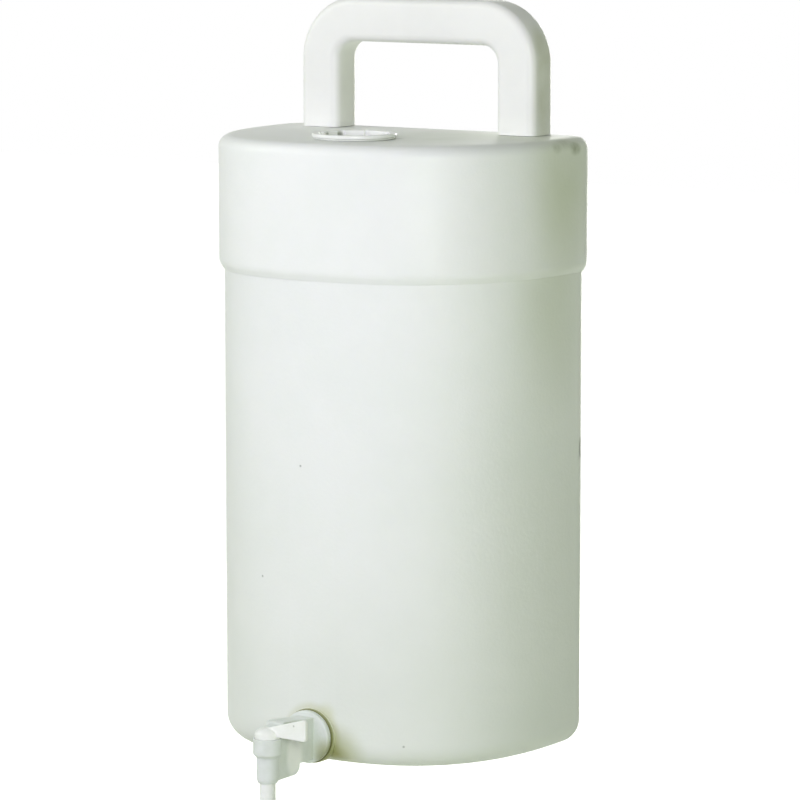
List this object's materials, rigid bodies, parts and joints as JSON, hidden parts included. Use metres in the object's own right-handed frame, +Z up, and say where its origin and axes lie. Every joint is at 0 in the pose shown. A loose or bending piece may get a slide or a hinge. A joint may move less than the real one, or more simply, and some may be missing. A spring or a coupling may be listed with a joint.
{
  "type": "detergent dispenser bottle",
  "caption": "White D-plan dispenser bottle with a lapped cover, loop handle, screw filler plug, and a low front lever tap that feeds a short hanging hose.",
  "frame": {"origin": "middle of the flat underside, midway between the bowed front and the flat back", "axes": "+Z up, -Y to the bowed front where the tap is, +X to the side that the closed lever points to"},
  "size_m": [0.2244, 0.2056, 0.7015],
  "materials": {
    "tank_plastic": "natural white polyethylene, soft satin",
    "cover_plastic": "natural white polyethylene, soft satin",
    "handle_plastic": "white polyethylene, satin",
    "plug_plastic": "bright white moulding",
    "tap_plastic": "natural translucent polypropylene",
    "lever_plastic": "bright white moulding",
    "hose_plastic": "milky flexible tubing",
    "black_rubber": "moulded black rubber",
    "white_rubber": "moulded white rubber",
    "stainless_steel": "plain stainless steel"
  },
  "bodies": {
    "bottle": {"tank_body": "tank_plastic", "top_cover": "cover_plastic", "cover_seal": "black_rubber", "carry_handle": "handle_plastic", "handle_screw_left": "stainless_steel", "handle_screw_right": "stainless_steel", "handle_washer_left": "stainless_steel", "handle_washer_right": "stainless_steel", "handle_seal_left": "black_rubber", "handle_seal_right": "black_rubber", "tap_body": "tap_plastic", "tap_gasket": "black_rubber", "tap_washer": "black_rubber", "tap_nut": "tap_plastic", "outlet_hose": "hose_plastic"},
    "tap_key": {"tap_plug": "tap_plastic", "valve_ring_upper": "black_rubber", "valve_ring_lower": "black_rubber", "tap_lever": "lever_plastic"},
    "plug_ring": {"plug_seal": "white_rubber"},
    "filler_cap": {"filler_plug": "plug_plastic"}
  },
  "joints": [
    {"name": "tap_turn", "type": "hinge", "parent": "bottle", "child": "tap_key", "pos_m": [0, -0.1189, 0.017], "axis": [0, 0, 1], "range_deg": [-90, 0]},
    {"name": "plug_lift", "type": "slide", "parent": "bottle", "child": "plug_ring", "axis": [0, 0, 1], "range_m": [0, 0.012]},
    {"name": "plug_turn", "type": "hinge", "parent": "plug_ring", "child": "filler_cap", "pos_m": [0, -0.0245, 0.375], "axis": [0, 0, 1], "range_deg": [0, 1080]}
  ],
  "couplings": [
    {"joint": "plug_lift", "follows": "plug_turn", "m_per_rad": 0.0006366}
  ]
}
